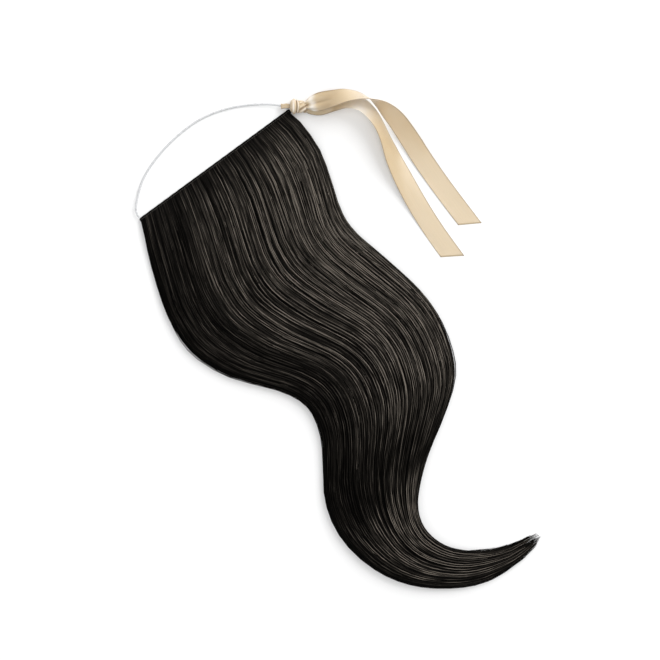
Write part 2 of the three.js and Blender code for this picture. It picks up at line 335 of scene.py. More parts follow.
class StageSettings(bpy.types.PropertyGroup):
    """Camera, floor and light."""

    view_side: FloatProperty(
        name="View side",
        description="Width of the floor that the camera sees",
        default=0.66,
        unit="LENGTH",
    )
    camera_height: FloatProperty(
        name="Camera height",
        description="Height of the camera above the floor",
        default=2.6,
        unit="LENGTH",
    )
    key_power: FloatProperty(
        name="Key power", description="Power of the key light", default=130.0, unit="POWER"
    )
    top_power: FloatProperty(
        name="Top power", description="Power of the soft box overhead", default=85.0, unit="POWER"
    )
    rim_power: FloatProperty(
        name="Rim power", description="Power of the low light behind", default=65.0, unit="POWER"
    )
    fill_power: FloatProperty(
        name="Fill power",
        description="Power of the light across from the key",
        default=16.0,
        unit="POWER",
    )
    sky: FloatProperty(name="Sky", description="Strength of the light from all round", default=0.6)


SETTINGS = {
    "extension_hair": HairSettings,
    "extension_band": BandSettings,
    "extension_ribbon": RibbonSettings,
    "extension_stage": StageSettings,
}


# Curves


def along_rows(rows, t):
    """Rows of a table between its rows, each column on one uniform Catmull-Rom curve."""
    last = len(rows) - 1
    padded = np.vstack([2 * rows[0] - rows[1], rows, 2 * rows[-1] - rows[-2]])
    place = np.clip(np.asarray(t, float), 0, 1) * last
    i = np.minimum(place.astype(int), last - 1)
    f = (place - i)[..., None]
    before, start, end, after = (padded[i + k] for k in range(4))
    slope_in = (end - before) / 2
    slope_out = (after - start) / 2
    bend = 3 * (end - start) - 2 * slope_in - slope_out
    twist = 2 * (start - end) + slope_in + slope_out
    return start + f * (slope_in + f * (bend + f * twist))


def smooth_step(x, low, high):
    """0 below low, 1 above high and an S-curve between."""
    f = np.clip((x - low) / (high - low), 0, 1)
    return f * f * (3 - 2 * f)


def near(x, middle, width):
    """1 at the middle, falling off to nothing about two widths away."""
    return np.exp(-(((x - middle) / width) ** 2))


def wave(turns, phase=0.0):
    """A sine wave after a number of turns."""
    return np.sin(2 * np.pi * turns + phase)


def unit(vectors):
    """The vectors at length one."""
    return vectors / np.linalg.norm(vectors, axis=-1, keepdims=True)


def stacked(*columns):
    """Numbers side by side in one array, each spread over the grid that they share."""
    return np.stack(np.broadcast_arrays(*columns), axis=-1)


def there_and_back(front, back):
    """Rings that cross the front of a strip and return across its back."""
    return np.concatenate([front, back[:, ::-1]], axis=1)


# Meshes and pieces


def loft(name, rings, uv):
    """A closed mesh through rings of points, with both ends capped and a UV map."""
    count, around = rings.shape[:2]
    faces = []
    for r in range(count - 1):
        a, b = r * around, (r + 1) * around
        for i in range(around):
            j = (i + 1) % around
            faces.append((a + i, a + j, b + j, b + i))
    faces.append(tuple(reversed(range(around))))
    faces.append(tuple(range((count - 1) * around, count * around)))
    mesh = bpy.data.meshes.new(name)
    mesh.from_pydata(rings.reshape(-1, 3).tolist(), [], faces)
    corners = np.empty(len(mesh.loops), dtype=np.int32)
    mesh.loops.foreach_get("vertex_index", corners)
    mesh.uv_layers.new(name="UVMap").data.foreach_set("uv", uv.reshape(-1, 2)[corners].ravel())
    made = bmesh.new()
    made.from_mesh(mesh)
    bmesh.ops.recalc_face_normals(made, faces=made.faces)
    made.to_mesh(mesh)
    made.free()
    mesh.shade_smooth()
    return mesh


def store(mesh, **values):
    """Stores values at the points of a mesh, for its material to read."""
    for name, value in values.items():
        attribute = mesh.attributes.new(name, "FLOAT", "POINT")
        attribute.data.foreach_set("value", value.ravel().astype(np.float32))


def linked(name, data):
    """An object at the origin of the scene."""
    made = bpy.data.objects.new(name, data)
    bpy.context.scene.collection.objects.link(made)
    return made


def piece(name, data, material, node):
    """An object that rides on the part and stands for one of its CAD nodes."""
    made = linked(name, data)
    data.materials.append(material)
    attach(made, BODY)
    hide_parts(node)
    return made


def grown_piece(name, guides, tree, slot, **values):
    """A piece that a node tree grows along the edges of a mesh, left as a plain mesh."""
    made = linked(name, guides)
    modifier = made.modifiers.new(tree.name, "NODES")
    modifier.node_group = tree
    for socket in tree.interface.items_tree:
        key = socket.name.replace(" ", "_")
        if socket.in_out == "INPUT" and key in values:
            modifier[socket.identifier] = values[key]
    result = made.evaluated_get(bpy.context.evaluated_depsgraph_get())
    mesh = bpy.data.meshes.new_from_object(result)
    made.modifiers.remove(modifier)
    made.data = mesh
    bpy.data.meshes.remove(guides)
    mesh.name = name
    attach(made, BODY)


# Node trees


def add(tree, kind, inputs=None, **settings):
    """A node with its settings and unlinked inputs, or links where an input is a socket."""
    made = tree.nodes.new(kind)
    for name, value in settings.items():
        setattr(made, name, value)
    for key, value in (inputs or {}).items():
        if isinstance(value, bpy.types.NodeSocket):
            tree.links.new(value, made.inputs[key])
        else:
            made.inputs[key].default_value = value
    return made


def arithmetic(tree, operation, *values):
    """One step of arithmetic on numbers and sockets."""
    return add(tree, "ShaderNodeMath", dict(enumerate(values)), operation=operation).outputs[0]


def remap(tree, value, given=(0.0, 1.0), wanted=(0.0, 1.0)):
    """A value moved from the range that it is given in to the wanted one, and kept within it."""
    inputs = {
        "Value": value,
        "From Min": given[0],
        "From Max": given[1],
        "To Min": wanted[0],
        "To Max": wanted[1],
    }
    return add(tree, "ShaderNodeMapRange", inputs).outputs[0]


def new_group(name, kind, given, result):
    """A node group whose sockets' kinds are given by name, and its input node's sockets."""
    tree = bpy.data.node_groups.new(name, kind)
    for in_out, sockets in (("INPUT", given), ("OUTPUT", result)):
        for socket, socket_kind in sockets.items():
            tree.interface.new_socket(
                socket, in_out=in_out, socket_type="NodeSocket" + socket_kind
            )
    return tree, add(tree, "NodeGroupInput").outputs


def grown_tree(name, **numbers):
    """A geometry tree along the edges of a mesh: the tree, its inputs and those edges."""
    kinds = {key.replace("_", " "): kind for key, kind in numbers.items()}
    tree, given = new_group(
        name,
        "GeometryNodeTree",
        {"Geometry": "Geometry", **kinds, "Material": "Material"},
        {"Geometry": "Geometry"},
    )
    curves = add(tree, "GeometryNodeMeshToCurve", {"Mesh": given["Geometry"]})
    return tree, given, curves.outputs[0]


def end_tree(tree, geometry, material):
    """Ends a geometry tree with real geometry in its material."""
    real = add(tree, "GeometryNodeRealizeInstances", {"Geometry": geometry})
    inputs = {"Geometry": real.outputs[0], "Material": material}
    finished = add(tree, "GeometryNodeSetMaterial", inputs)
    add(tree, "NodeGroupOutput", {"Geometry": finished.outputs[0]})


def strand_tree():
    """Round strands along the edges of a mesh, thinner from the root to the tip."""
    tree, given, curves = grown_tree(
        "Strands", Root_Radius="Float", Tip_Radius="Float", Sides="Int"
    )
    place = add(tree, "GeometryNodeSplineParameter").outputs["Factor"]
    late_thinning = 6.0
    thinning = arithmetic(tree, "POWER", place, late_thinning)
    radius = remap(tree, thinning, wanted=(given["Root Radius"], given["Tip Radius"]))
    profile = add(tree, "GeometryNodeCurvePrimitiveCircle", {"Resolution": given["Sides"]})
    tubes = add(
        tree,
        "GeometryNodeCurveToMesh",
        {
            "Curve": curves,
            "Profile Curve": profile.outputs[0],
            "Scale": radius,
            "Fill Caps": True,
        },
    )
    smoothed = add(tree, "GeometryNodeSetShadeSmooth", {"Geometry": tubes.outputs[0]})
    end_tree(tree, smoothed.outputs[0], given["Material"])
    return tree


def stitch_tree():
    """A row of like stitches along a line."""
    tree, given, curves = grown_tree("Stitches", Pitch="Float", Stitch="Vector", Slant="Vector")
    points = add(
        tree,
        "GeometryNodeCurveToPoints",
        {"Curve": curves, "Length": given["Pitch"]},
        mode="LENGTH",
    )
    ball = add(tree, "GeometryNodeMeshUVSphere", {"Segments": 8, "Rings": 6, "Radius": 1.0})
    smoothed = add(tree, "GeometryNodeSetShadeSmooth", {"Geometry": ball.outputs["Mesh"]})
    row = add(
        tree,
        "GeometryNodeInstanceOnPoints",
        {
            "Points": points.outputs["Points"],
            "Instance": smoothed.outputs[0],
            "Rotation": given["Slant"],
            "Scale": given["Stitch"],
        },
    )
    end_tree(tree, row.outputs[0], given["Material"])
    return tree


def object_place(tree):
    """The socket of a point's place on its object."""
    return add(tree, "ShaderNodeTexCoord").outputs["Object"]


def uv_place(tree):
    """The sockets of a point's place across and along its piece."""
    where = add(tree, "ShaderNodeUVMap", uv_map="UVMap")
    return add(tree, "ShaderNodeSeparateXYZ", {0: where.outputs[0]}).outputs


def stored(tree, name):
    """The socket of a value stored at the points of the mesh."""
    return add(tree, "ShaderNodeAttribute", attribute_name=name).outputs["Fac"]


def streak_group():
    """A shader group of streaks along a piece: noise that is fine across and long along."""
    given_kinds = dict.fromkeys(("Across", "Along", "Low", "High"), "Float")
    tree, given = new_group(STREAKS, "ShaderNodeTree", given_kinds, {"Streak": "Float"})
    place = uv_place(tree)
    across = arithmetic(tree, "MULTIPLY", place[0], given["Across"])
    along = arithmetic(tree, "MULTIPLY", place[1], given["Along"])
    point = add(tree, "ShaderNodeCombineXYZ", {0: across, 1: along})
    noise = add(
        tree,
        "ShaderNodeTexNoise",
        {"Vector": point.outputs[0], "Scale": 1.0, "Detail": 3.0, "Roughness": 0.6},
    )
    streak = remap(tree, noise.outputs[0], (given["Low"], given["High"]))
    add(tree, "NodeGroupOutput", {"Streak": streak})
    return tree


def streaks(tree, **values):
    """The socket of the shared streaks, whose group is made at its first use."""
    shared = bpy.data.node_groups.get(STREAKS) or streak_group()
    return add(tree, "ShaderNodeGroup", values, node_tree=shared).outputs["Streak"]


def new_material(name, **shader):
    """A material with one Principled shader, whose inputs are set by name."""
    made = bpy.data.materials.new(name)
    made.use_nodes = True
    principled = made.node_tree.nodes["Principled BSDF"]
    for key, value in shader.items():
        principled.inputs[key.replace("_", " ")].default_value = value
    return made, made.node_tree, principled


def feed(principled, **sockets):
    """Links sockets to a shader's inputs by name."""
    for key, socket in sockets.items():
        principled.id_data.links.new(socket, principled.inputs[key.replace("_", " ")])


def blend_colours(tree, factor, low, high):
    """A colour between two by a factor socket. Each of the two is a colour or a socket."""
    low, high = (
        end if isinstance(end, bpy.types.NodeSocket) else (*end, 1.0) for end in (low, high)
    )
    inputs = {"Factor": factor, MIX_LOW: low, MIX_HIGH: high}
    return add(tree, "ShaderNodeMix", inputs, data_type="RGBA").outputs[MIX_RESULT]


def relief(tree, height, distance):
    """A normal that follows a height socket."""
    return add(tree, "ShaderNodeBump", {"Height": height, "Distance": distance}).outputs[0]


# Finishes


def strand_finish(settings):
    """Strands whose colour goes from dark to light by a tint of their own tone and painted sheen,
    broken into short strokes of painted glint.
    """
    made, tree, principled = new_material(
        "hair_strands", Roughness=0.45, Specular_IOR_Level=0.012
    )
    noise = add(
        tree,
        "ShaderNodeTexNoise",
        {"Vector": object_place(tree), "W": stored(tree, "strand"), "Scale": 55.0},
        noise_dimensions="4D",
    )
    painted_glint_stroke = remap(tree, noise.outputs[0], (0.36, 0.64), (0.4, 1.6))
    # The tint, with its painted sheen and glints, times the painted glint strokes.
    light = arithmetic(tree, "MULTIPLY", stored(tree, "tint"), painted_glint_stroke)
    feed(principled, Base_Color=blend_colours(tree, light, settings.dark, settings.light))
    return made


def body_finish(settings):
    """The hair under the strands: dark, with streaks and fine relief along the fall."""
    made, tree, principled = new_material("hair_body", Roughness=0.6, Specular_IOR_Level=0.03)
    streak = streaks(tree, Across=260.0, Along=5.0, Low=0.35, High=0.75)
    dark = settings.dark * 0.6
    colour = blend_colours(tree, streak, dark, dark + settings.light * 0.12)
    feed(principled, Base_Color=colour, Normal=relief(tree, streak, 0.6 * MM))
    return made


def woven_finish(name, colour, shade, depth, waves, **shader):
    """Dark threads with a fine relief of waves, shaded between them."""
    made, tree, principled = new_material(name, **shader)
    inputs = {"Vector": object_place(tree), **waves}
    weave = add(tree, "ShaderNodeTexWave", inputs).outputs[1]
    feed(
        principled,
        Base_Color=blend_colours(tree, weave, colour * shade, colour),
        Normal=relief(tree, weave, depth),
    )
    return made


def tape_finish(settings):
    """The band's tape: a matt dark weave."""
    waves = {"Scale": 900.0, "Distortion": 1.5}
    return woven_finish(
        "weft_tape", settings.tape, 0.7, 0.2 * MM, waves, Roughness=0.75, Specular_IOR_Level=0.06
    )


def thread_finish(settings):
    """Sewing thread with a slight twist."""
    waves = {"Scale": 1400.0, "Distortion": 0.6}
    return woven_finish("sewing_thread", settings.thread, 0.6, 0.1 * MM, waves, Roughness=0.6)


def wire_finish():
    """Clear nylon, a little cloudy along its length."""
    made, tree, principled = new_material(
        "clear_nylon", Transmission_Weight=0.15, IOR=1.53, Base_Color=(0.66, 0.67, 0.68, 1)
    )
    cloud = add(tree, "ShaderNodeTexNoise", {"Vector": object_place(tree), "Scale": 160.0})
    feed(principled, Roughness=remap(tree, cloud.outputs[0], wanted=(0.2, 0.35)))
    return made


def satin_finish(settings):
    """Champagne satin: threads along the ribbon, a darker woven edge, painted shade in creases and
    painted gleams.
    """
    if SATIN in bpy.data.materials:
        return bpy.data.materials[SATIN]
    made, tree, principled = new_material(
        SATIN,
        Sheen_Weight=0.6,
        Sheen_Roughness=0.35,
        Specular_IOR_Level=1.0,
        IOR=1.6,
        Subsurface_Weight=0.25,
        Subsurface_Radius=(1.0, 0.85, 0.65),
        Subsurface_Scale=0.0012,
    )
    off_middle = arithmetic(tree, "SUBTRACT", uv_place(tree)[0], 0.5)
    edge = remap(tree, arithmetic(tree, "ABSOLUTE", off_middle), (0.44, 0.475))
    threads = streaks(tree, Across=70.0, Along=9.0, Low=0.25, High=0.8)
    colour = blend_colours(tree, threads, settings.satin * 0.9, settings.satin)
    colour = blend_colours(tree, edge, colour, settings.selvedge)
    colour = blend_colours(tree, stored(tree, "crease"), colour, settings.crease)
    colour = blend_colours(tree, stored(tree, "gleam"), colour, settings.gleam)
    feed(
        principled,
        Base_Color=colour,
        Roughness=remap(tree, threads, wanted=(0.3, 0.4)),
        Normal=relief(tree, threads, 0.08 * MM),
    )
    return made


def floor_finish():
    """A plain white table with a faint unevenness."""
    made, tree, principled = new_material("pale_floor", Roughness=0.85, Specular_IOR_Level=0.1)
    mottle = add(tree, "ShaderNodeTexNoise", {"Vector": object_place(tree), "Scale": 6.0})
    colour = blend_colours(tree, mottle.outputs[0], (0.9, 0.9, 0.9), (0.915, 0.915, 0.915))
    feed(principled, Base_Color=colour)
    return made


# Hair


def arch(u, t):
    """Height of a section's outline at u across it, as a share of its crown."""
    rounded = np.cbrt(np.clip(1 - np.abs(2 * u - 1) ** 4, 0, 1))
    return rounded ** smooth_step(t, 0.0, 0.12)


def fall_points(u, t, height):
    """Points of the fall: u across it, t along it and a height as a share of the outline."""
    rows = along_rows(HAIR_SECTIONS, t)
    x = rows[..., LEFT_X] + (rows[..., RIGHT_X] - rows[..., LEFT_X]) * u
    y = rows[..., LEFT_Y] + (rows[..., RIGHT_Y] - rows[..., LEFT_Y]) * u
    z = rows[..., CROWN] * arch(np.clip(u, 0, 1), t) * height
    return stacked(x, y, z)


def fall_width(t):
    """Width of the fall at t along it, in millimetres."""
    rows = along_rows(HAIR_SECTIONS, t)
    return np.hypot(rows[..., RIGHT_X] - rows[..., LEFT_X], rows[..., RIGHT_Y] - rows[..., LEFT_Y])


def even_stations(count, samples=500):
    """Places along the fall that lie closer together where its edges bend."""
    t = np.linspace(0, 1, samples)
    weight = np.zeros(samples - 1)
    for u in (0.0, 0.5, 1.0):
        steps = np.diff(fall_points(u, t, 0.0)[:, :2], axis=0)
        length = np.linalg.norm(steps, axis=1)
        heading = np.unwrap(np.arctan2(steps[:, 1], steps[:, 0]))
        turn = np.abs(np.diff(heading, prepend=heading[0]))
        weight += length / length.sum() + turn / turn.sum()
    return np.interp(np.linspace(0, weight.sum(), count), np.r_[0, np.cumsum(weight)], t)


def fall_reach(u):
    """How far along the fall a lock at u goes: the tip is cut at a slant."""
    shortest, slant = 0.98, 0.035
    return np.minimum(shortest + slant * np.clip(u, 0, 1) ** 0.6, 1.0)


def painted_sheen(u, t):
    """Painted sheen over the fall, from 0 to 1: most on its upper right side."""
    upper = smooth_step(t, 0.0, 0.14) * (1 - smooth_step(t, 0.44, 0.62))
    right = 0.06 + 0.76 * smooth_step(u, 0.12, 0.64) + 0.18 * smooth_step(u, 0.55, 0.9)
    return upper * right


def painted_lock_shade(u, t):
    """Broad locks of painted light and shade along the fall, about 1."""
    contrast = 0.4
    across = wave(6.3 * u + 0.25 * np.sin(7 * t))
    return 1 + contrast * across * wave(2.4 * u + 1.3 * t, 0.8)


def in_tail(t):
    """0 over the fall and 1 in the tail below its last bend."""
    return smooth_step(t, 0.66, 0.8)


def sway(swings, t, phases):
    """How far strands swing sideways along the fall, with none of it at the band."""
    free = smooth_step(t, 0.02, 0.2)
    return free * sum(
        share * wave(waves * t, phase) for (share, waves), phase in zip(swings, phases)
    )


def keep_inside(u, margin=0.012, over=0.3):
    """Places across the fall, with what strays over its edges drawn back to them."""
    u = np.where(u < margin, margin - over * (margin - u), u)
    return np.where(u > 1 - margin, 1 - margin + over * (u - 1 + margin), u)


def even_ranks(count):
    """Ranks from 0 to 1 in an order that leaves the lowest ones evenly spread at any limit."""
    ranks = np.zeros(count)
    for place in range(count):
        digits = f"{place:b}"[::-1]
        ranks[place] = int(digits, 2) / 2 ** len(digits)
    return ranks


def lay_strands(settings, u, t, height):
    """Points of strands in metres, rooted under the band and all of them above the table."""
    under_band, clear_of_table = 3 * MM, 1.2
    points = fall_points(u, t, height) * MM
    points[:, 0, 1] += under_band
    points[..., 2] = np.maximum(points[..., 2], settings.root_radius * clear_of_table)
    return points


def top_strand_points(settings, rng):
    """Seeded strands laid evenly on the top of the fall, fewer of them carrying painted highlights
    where it is narrow.
    """
    count = settings.lines
    start = (np.arange(count)[:, None] + rng.uniform(0.15, 0.85, (count, 1))) / count
    uneven = 0.03
    reach = fall_reach(start) - uneven * rng.random((count, 1))
    t = even_stations(settings.points)[None, :] * reach
    phases = (9 * start, 14 * start, rng.uniform(0, 2 * np.pi, (count, 1)))
    u = keep_inside(start + sway(TOP_SWINGS, t, phases))

    # A strand carries a painted highlight, and comes to the top, where the fall is wide enough for
    # its rank.
    tail = in_tail(t)
    width = fall_width(t)
    most, fewer_in_tail, fade, sunk = 0.75, 0.25, 0.04, 0.955
    painted_lit_share = most * width / width.max() * (1 - fewer_in_tail * tail)
    painted_lit = smooth_step(painted_lit_share - even_ranks(count)[:, None], -fade, fade)
    height = sunk + (1 - sunk) * painted_lit

    # Its tint is its own tone with painted glints, times the painted sheen of its place: none of it
    # at the edges.
    painted_glint = 0.2 + 1.6 * rng.random(t.shape) ** 2
    own = 0.17 + 1.15 * rng.random((count, 1)) ** 2
    inner = smooth_step(u, 0.02, 0.07 + 0.22 * tail) * smooth_step(1 - u, 0.01, 0.03)
    corner = (1 - smooth_step(t, 0.06, 0.22)) * (1 - smooth_step(u, 0.1, 0.4))
    level = 0.15 + 0.1 * corner + 1.3 * painted_sheen(u, t) + 2.2 * tail
    tint = own * painted_lit * painted_glint * inner * level * painted_lock_shade(u, t)
    return lay_strands(settings, u, t, height), np.clip(tint, 0, 1)


class Locks:
    """Seeded locks of the fall, the narrow wisps inside each of them and the tufts at the tip."""

    WISPS = 16
    TUFTS = 8

    def __init__(self, count, rng):
        self.tuft_place = (np.arange(self.TUFTS) + rng.uniform(0.3, 0.7, self.TUFTS)) / self.TUFTS
        self.tuft_reach = rng.uniform(-0.03, 0.0, self.TUFTS)
        self.place = (np.arange(count) + rng.uniform(0.1, 0.9, count)) / count
        self.width = rng.uniform(0.009, 0.024, count)
        self.height = rng.uniform(0.82, 0.86, count)
        self.phase = rng.uniform(0, 2 * np.pi, (2, count))
        self.twist = rng.uniform(-1.4, 1.4, count)
        self.tint = rng.uniform(0.7, 1.15, count)
        wisps = count * self.WISPS
        self.wisp_spin = rng.uniform(0, 2 * np.pi, wisps)
        self.wisp_out = np.sqrt(rng.random(wisps))
        self.wisp_tint = rng.random(wisps) ** 2.2
        # Waves of painted glint along each wisp, and the phases of its sway and of its painted
        # glints.
        self.wisp_wave = rng.uniform(3, 9, wisps)
        self.wisp_phase = rng.uniform(0, 2 * np.pi, (2, wisps))
        self.wisp_height = rng.random(wisps)


def gather_ends(u, t, own, tuft, flare, fan):
    """Places across the fall, drawn into tufts at the strands' ends and together at the tip.

    Own is the place along each strand, tuft the place across of its tuft, flare how far it
    strays from there, and fan how far its end turns out to the right.
    """
    tuft_pull, left_shift, tip_pull, tip_middle = 0.9, 0.04, 0.4, 0.45
    u = u + tuft_pull * smooth_step(own, 0.95, 1.0) * (tuft - u)
    u = u - left_shift * smooth_step(t, 0.84, 1.0) * (1 - u)
    u = u + flare * smooth_step(own, 0.93, 1.0)
    u = u + tip_pull * smooth_step(t, 0.9, 1.0) * (tip_middle - u)
    return u + fan * smooth_step(own, *SPIKE_LENGTH)


def strand_points(settings, locks, rng):
    """Seeded strands in the locks: their points in metres, and a tint at each point."""
    count = settings.strands
    each = (count, 1)
    wisp = rng.integers(0, len(locks.wisp_tint), count)[:, None]
    lock = wisp // locks.WISPS
    middle = locks.place[lock]
    stray_share, stray_swing = 0.025, 4
    stray = np.where(rng.random(each) < stray_share, stray_swing, 1)

    # How far it reaches: as its tuft does, with steps where the locks end in spikes.
    uneven, spike_step = 0.035, 0.04
    tuft = np.minimum(locks.TUFTS * middle, locks.TUFTS - 1).astype(int)
    reach = fall_reach(middle) + locks.tuft_reach[tuft] - uneven * rng.random(each) ** 2
    spike = smooth_step(middle, 0.8, 0.95)
    reach = reach - spike_step * spike * (GOLDEN * lock % 1)
    own = even_stations(settings.points)[None, :]
    t = own * reach

    # Where it lies: in its wisp, which turns about the middle of a swaying lock.
    phases = (locks.phase[0][lock], locks.phase[1][lock], locks.wisp_phase[0][wisp])
    swing = stray * sway(LOCK_SWINGS, t, phases)
    spin = locks.wisp_spin[wisp] + rng.normal(0, 0.16, each) + locks.twist[lock] * t
    out = np.abs(locks.wisp_out[wisp] + rng.normal(0, 0.06, each))
    narrowed = 1 - 0.4 * smooth_step(t, 0.6, 0.9)
    pointed = 1 - 0.8 * spike * smooth_step(own, *SPIKE_LENGTH)
    width = locks.width[lock] * narrowed * pointed
    u = keep_inside(middle + swing + width * out * np.cos(spin))
    flare = rng.normal(0, 0.02, each)
    widest_fan, least_share = 0.36, 0.3
    fan_share = least_share + (1 - least_share) * ((1 - GOLDEN) * lock % 1)
    fan = widest_fan * spike * fan_share
    u = gather_ends(u, t, own, locks.tuft_place[tuft], flare, fan)
    height = locks.height[lock] + 0.11 * locks.wisp_height[wisp] + 0.03 * out * np.sin(spin)

    # Its tint: its own tone and its lock's, with painted glints along it, times the painted sheen of
    # its place.
    painted_glint = 0.5 + 0.5 * wave(locks.wisp_wave[wisp] * t, locks.wisp_phase[1][wisp])
    shine = 0.5 + 1.5 * rng.random(each) ** 2
    tint = shine * locks.tint[lock] * locks.wisp_tint[wisp] * (0.25 + 1.6 * painted_glint**2)
    level = 0.06 + 0.46 * painted_sheen(u, t) + 0.06 * in_tail(t)
    return lay_strands(settings, u, t, height), np.clip(tint * level, 0, 1)


def strand_guides(name, points, tint):
    """A mesh of loose edge chains, one for each strand, with the tint at their points."""
    count, length = points.shape[:2]
    first = np.arange(count)[:, None] * length
    start = first + np.arange(length - 1)[None, :]
    edges = stacked(start, start + 1).reshape(-1, 2)
    mesh = bpy.data.meshes.new(name)
    mesh.from_pydata(points.reshape(-1, 3).tolist(), edges.tolist(), [])
    store(mesh, tint=tint, strand=np.broadcast_to(first, tint.shape))
    return mesh


def hair_body_mesh():
    """The body of the fall: a low arch with lock ridges that sinks away in the tail."""
    stations, across, end = 170, 72, 0.93
    filled, least_height, table_gap = 0.8, 0.2, 0.1
    t = np.linspace(0, end, stations)[:, None]
    sinking = smooth_step(t, 0.8, end)
    inset = 0.014 + 0.3 * sinking
    u = inset + (1 - 2 * inset) * np.linspace(0, 1, across)[None, :]
    ridge = 0.03 * wave(21 * u + 0.35 * np.sin(9 * t))
    top = fall_points(u, t, (filled + ridge) * (1 - 0.75 * sinking))
    top[..., 2] = np.maximum(top[..., 2], least_height)
    under = top.copy()
    under[..., 2] = table_gap
    uv = stacked(there_and_back(u, u), t)
    return loft("hair_body", there_and_back(under, top) * MM, uv)


class EXTENSION_OT_hair(bpy.types.Operator):
    """Makes the body of the hair and its layers of strands"""

    bl_idname = "extension.hair"
    bl_label = "Hair"

    def execute(self, context):
        settings = context.scene.extension_hair
        piece("hair_body", hair_body_mesh(), body_finish(settings), "hair_fall")
        tree = strand_tree()
        finish = strand_finish(settings)
        rng = np.random.default_rng(settings.seed)
        locks = Locks(settings.locks, rng)
        laid = {
            f"hair_strands_{layer + 1}": strand_points(settings, locks, rng)
            for layer in range(settings.layers)
        }
        laid["hair_strands_top"] = top_strand_points(settings, rng)
        for name, (points, tint) in laid.items():
            grown_piece(
                name,
                strand_guides(name, points, tint),
                tree,
                "hair",
                Root_Radius=settings.root_radius,
                Tip_Radius=settings.tip_radius,
                Sides=3,
                Material=finish,
            )
        return {"FINISHED"}


# Weft band


def boxy(values, power=0.55):
    """Sines or cosines of a circle, pushed out towards a box."""
    return np.sign(values) * np.abs(values) ** power


def band_mesh():
    """The tape: a rounded strip with two sewn ribs along its top and soft ends."""
    low, high = (np.array(corner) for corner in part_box("weft_band"))
    half_length, half_depth = (high - low)[:2] / 2
    thickness = (high - low)[2]
    end, end_share, end_height = 1.6 * MM, 0.35, 0.8
    flat = np.linspace(-half_length + end, half_length - end, 120)
    inset = end * (1 - np.cos(np.linspace(0, math.pi / 2, 6, endpoint=False)))
    x = np.r_[-half_length + inset, flat, half_length - inset[::-1]][:, None]
    past = np.clip((np.abs(x) - (half_length - end)) / end, 0, 0.995)
    shrink = end_share + (1 - end_share) * np.sqrt(1 - past**2)
    angle = np.linspace(0, 2 * math.pi, 48, endpoint=False)[None, :]
    y = half_depth * boxy(np.cos(angle))
    z = boxy(np.sin(angle))
    rib = 0.12 * np.cos(2 * math.pi * y / half_depth) * (z > 0)
    height = thickness * (0.46 + 0.42 * z * (1 - rib)) * (end_height + (1 - end_height) * shrink)
    wander = 0.08 * MM * np.sin(x * 700) + 0.05 * MM * np.sin(x * 1730 + 1)
    table_gap = 0.1 * MM
    rings = stacked(x, y * shrink + wander, height + table_gap)
    uv = stacked(angle / (2 * math.pi), (x + half_length) / (2 * half_length))
    return loft("weft_band", rings, uv)


class EXTENSION_OT_band(bpy.types.Operator):
    """Makes the weft band with its rows of stitches"""

    bl_idname = "extension.band"
    bl_label = "Weft band"

    def execute(self, context):
        settings = context.scene.extension_band
        tape = tape_finish(settings)
        piece("weft_tape", band_mesh(), tape, "weft_band")
        low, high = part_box("weft_band")
        margin, height = 2.5 * MM, 3.62 * MM
        tree = stitch_tree()
        rows = (
            ("stitches_front", 0.45 * MM, thread_finish(settings), 9),
            ("stitches_back", 1.6 * MM, tape, -9),
        )
        for name, y, finish, slant in rows:
            ends = [(low.x + margin, y, height), (high.x - margin, y, height)]
            line = bpy.data.meshes.new(name)
            line.from_pydata(ends, [(0, 1)], [])
            grown_piece(
                name,
                line,
                tree,
                "band",
                Pitch=settings.stitch_pitch,
                Stitch=(0.46 * settings.stitch_pitch, 0.24 * MM, 0.26 * MM),
                Slant=(0.0, 0.0, math.radians(slant)),
                Material=finish,
            )
        return {"FINISHED"}


# Halo wire


class EXTENSION_OT_wire(bpy.types.Operator):
    """Makes the clear halo wire"""

    bl_idname = "extension.wire"
    bl_label = "Halo wire"

    def execute(self, context):
        diameter = context.scene.extension_band.wire_diameter
        table_gap = 0.3 * MM
        route = along_rows(np.array(WIRE_ROUTE), np.linspace(0, 1, 161))
        route[:, 2] = np.maximum(route[:, 2], diameter / 2 + table_gap)
        curve = bpy.data.curves.new("halo_wire", "CURVE")
        curve.dimensions = "3D"
        curve.bevel_depth = diameter / 2
        curve.bevel_resolution = 4
        curve.use_fill_caps = True
        spline = curve.splines.new("POLY")
        spline.points.add(len(route) - 1)
        spline.points.foreach_set("co", np.c_[route, np.ones(len(route))].ravel())
        made = piece("halo_wire_clear", curve, wire_finish(), "halo_wire")
        return {"FINISHED"}


# Ribbon


def from_knot(points):
    """Points of the ribbon's own frame, in millimetres, as points of the part in metres."""
    c, s = math.cos(RIBBON_TURN), math.sin(RIBBON_TURN)
    x = KNOT_X + c * points[..., 0] - s * points[..., 1]
    y = KNOT_Y + s * points[..., 0] + c * points[..., 1]
    return stacked(x, y, points[..., 2]) * MM


def satin_mesh(name, rings, uv, crease, gleam):
    """A piece of the ribbon, with how much painted shade of its creases and painted gleam lie at its
    points.
    """
    mesh = loft(name, from_knot(rings), uv)
    crease, gleam = (
        np.broadcast_to(np.clip(light, 0, 1), rings.shape[:2]) for light in (crease, gleam)
    )
    store(mesh, crease=crease, gleam=gleam)
    return mesh


